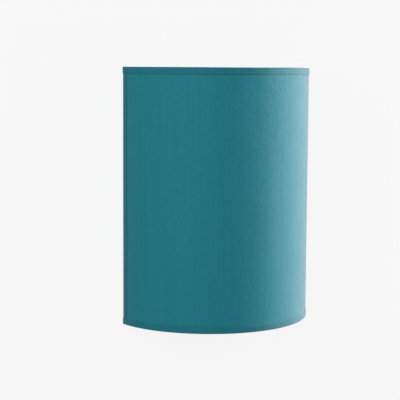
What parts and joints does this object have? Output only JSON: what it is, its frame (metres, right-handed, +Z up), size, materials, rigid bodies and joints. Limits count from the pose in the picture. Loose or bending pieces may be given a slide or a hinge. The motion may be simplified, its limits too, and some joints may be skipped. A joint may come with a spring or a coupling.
{
  "type": "fabric shade wall light",
  "caption": "Half-cylinder cloth shade on a white liner and wire frame, hung by a cross bar in the hooks of a sheet-steel wall bracket with an upright screw lampholder and bulb.",
  "frame": {"origin": "on the wall plane, midway between the bracket's two wall slots", "axes": "+Y into the wall, +Z up, +X to the right seen from the room"},
  "size_m": [0.241, 0.1205, 0.3],
  "materials": {
    "cover_cloth": "woven slub cloth, soft sheen",
    "hem_cloth": "folded tape of the same cloth",
    "liner": "white lampshade liner",
    "frame_wire": "white coated wire",
    "bracket_paint": "white powder coat",
    "zinc_steel": "zinc plated",
    "brass": "plain brass",
    "rubber": "black rubber",
    "block_plastic": "white moulded",
    "live_insulation": "brown insulation",
    "neutral_insulation": "blue insulation",
    "earth_insulation": "green and yellow insulation",
    "holder_plastic": "white moulded",
    "porcelain": "glazed ceramic look",
    "insulator_black": "black moulded",
    "nickel_cap": "nickel plated",
    "bulb_plastic": "white moulded",
    "led_board": "white coated board",
    "led_chip": "yellow phosphor",
    "opal": "opal diffuser"
  },
  "bodies": {
    "bracket": {"backplate": "bracket_paint", "lamp_arm": "bracket_paint", "cable_bush": "rubber", "arm_rivets": "zinc_steel", "terminal_rivets": "brass", "terminal_block": "block_plastic", "terminal_inserts": "brass", "terminal_screws": "zinc_steel", "earth_lug": "zinc_steel", "earth_washer": "zinc_steel", "earth_screw": "zinc_steel", "earth_nut": "zinc_steel", "live_wire": "live_insulation", "neutral_wire": "neutral_insulation", "earth_wire": "earth_insulation", "holder_nipple": "zinc_steel", "nipple_washer": "zinc_steel", "nipple_nut": "zinc_steel", "holder_cap": "holder_plastic", "holder_skirt": "holder_plastic", "contact_core": "porcelain", "screw_shell": "brass", "centre_contact": "brass", "holder_clamps": "brass", "holder_screws": "zinc_steel"},
    "shade": {"shade_cover": "cover_cloth", "shade_liner": "liner", "top_hem": "hem_cloth", "bottom_hem": "hem_cloth", "left_hem": "hem_cloth", "right_hem": "hem_cloth", "top_ring": "frame_wire", "bottom_ring": "frame_wire", "left_upright": "frame_wire", "right_upright": "frame_wire", "top_back_bar": "frame_wire", "hanging_bar": "frame_wire"},
    "bulb_contact": {"bulb_tip_contact": "zinc_steel", "bulb_insulator": "insulator_black"},
    "bulb": {"bulb_screw_cap": "nickel_cap", "bulb_housing": "bulb_plastic", "led_board": "led_board", "led_chips": "led_chip", "bulb_globe": "opal"}
  },
  "joints": [
    {"name": "shade_lift", "type": "slide", "parent": "bracket", "child": "shade", "axis": [0, 0, 1], "range_m": [0, 0.22]},
    {"name": "bulb_travel", "type": "slide", "parent": "bracket", "child": "bulb_contact", "axis": [0, 0, 1], "range_m": [0, 0.01452]},
    {"name": "bulb_turn", "type": "hinge", "parent": "bulb_contact", "child": "bulb", "pos_m": [0, -0.055, 0], "axis": [0, 0, 1], "range_deg": [0, 1440]}
  ],
  "couplings": [
    {"joint": "bulb_travel", "follows": "bulb_turn", "m_per_rad": 0.00057757}
  ]
}
